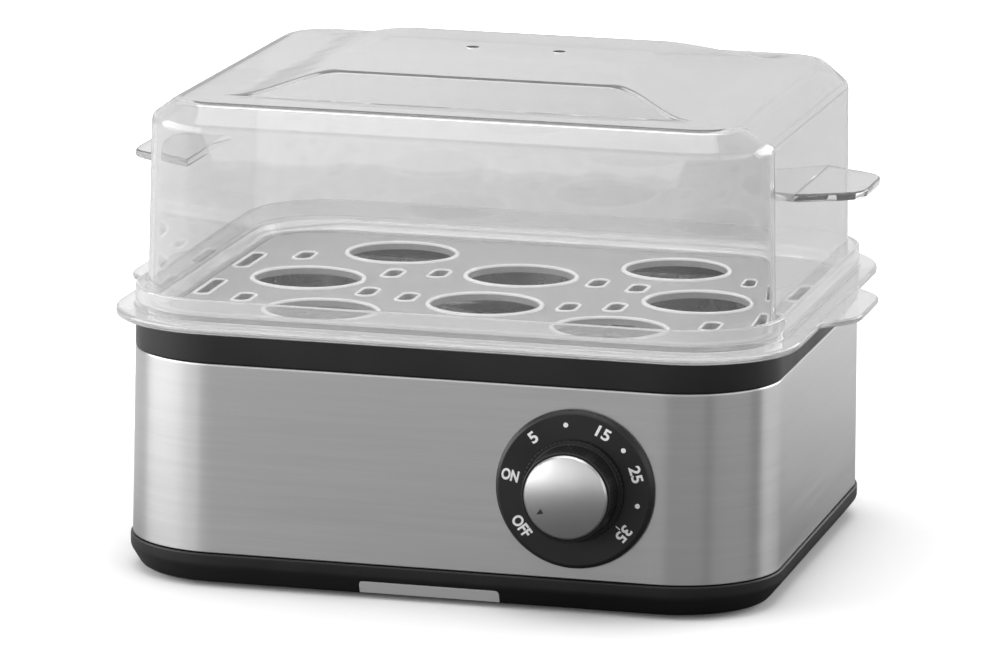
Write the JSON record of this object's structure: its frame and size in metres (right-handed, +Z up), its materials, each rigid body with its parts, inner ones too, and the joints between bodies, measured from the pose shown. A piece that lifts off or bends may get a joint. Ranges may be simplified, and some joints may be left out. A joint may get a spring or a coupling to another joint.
{
  "type": "egg boiler",
  "caption": "Electric egg boiler: brushed steel body with timer knob, clear tray with a perforated egg rack, and a clear vented lid.",
  "frame": {"origin": "on the floor under the middle of the object's box", "axes": "+Z up, -Y out of the front with the dial, +X to the right seen from the front"},
  "size_m": [0.2774, 0.2364, 0.183],
  "materials": {
    "black_plastic": "satin moulded black",
    "brushed_sleeve": "fine horizontal brushing",
    "bright_steel": "bright pressed",
    "plated_steel": "zinc plated",
    "satin_aluminium": "satin",
    "knob_black": "satin moulded black",
    "dial_black": "satin, printed",
    "clear_plastic": "clear, slightly frosted",
    "grey_plastic": "satin grey",
    "rubber": "matt",
    "silicone": "matt",
    "ceramic": "glazed ceramic",
    "brass": "turned",
    "lead_red": "insulation",
    "lead_blue": "insulation",
    "lead_white": "glass-fibre sleeve"
  },
  "bodies": {
    "base": {"base_front_insert": "grey_plastic", "base_screw_left_front": "plated_steel", "base_screw_left_rear": "plated_steel", "base_screw_right_front": "plated_steel", "base_screw_right_rear": "plated_steel", "base_tray": "black_plastic", "clamp_nut_left": "plated_steel", "clamp_nut_right": "plated_steel", "cord_gland": "rubber", "dial_plate": "dial_black", "element_clamp": "plated_steel", "foot_left_front": "rubber", "foot_left_rear": "rubber", "foot_right_front": "rubber", "foot_right_rear": "rubber", "heat_spreader": "satin_aluminium", "heating_element": "bright_steel", "lead_live": "lead_red", "lead_neutral": "lead_blue", "lead_switched": "lead_white", "pan_gasket": "silicone", "steel_sleeve": "brushed_sleeve", "terminal_block": "ceramic", "terminal_screw_1": "brass", "terminal_screw_2": "brass", "terminal_screw_3": "brass", "thermal_fuse": "lead_white", "thermostat": "ceramic", "timer_bell": "bright_steel", "timer_case": "plated_steel", "timer_plate": "plated_steel", "timer_screw_left": "plated_steel", "timer_screw_right": "plated_steel", "top_collar": "black_plastic", "water_pan": "bright_steel"},
    "knob": {"timer_shaft": "plated_steel", "knob_skirt": "knob_black", "knob_cap": "satin_aluminium", "knob_clip": "plated_steel"},
    "tray": {"steam_tray": "clear_plastic"},
    "rack": {"egg_rack": "grey_plastic"},
    "lid": {"clear_lid": "clear_plastic"}
  },
  "joints": [
    {"name": "timer_turn", "type": "hinge", "parent": "base", "child": "knob", "pos_m": [0.0536, -0.10477, 0.0463], "axis": [0, 1, 0], "range_deg": [0, 258]},
    {"name": "tray_lift", "type": "slide", "parent": "base", "child": "tray", "axis": [0, 0, 1], "range_m": [0, 0.08]},
    {"name": "rack_lift", "type": "slide", "parent": "tray", "child": "rack", "axis": [0, 0, 1], "range_m": [0, 0.015]},
    {"name": "lid_lift", "type": "slide", "parent": "tray", "child": "lid", "axis": [0, 0, 1], "range_m": [0, 0.12]}
  ]
}
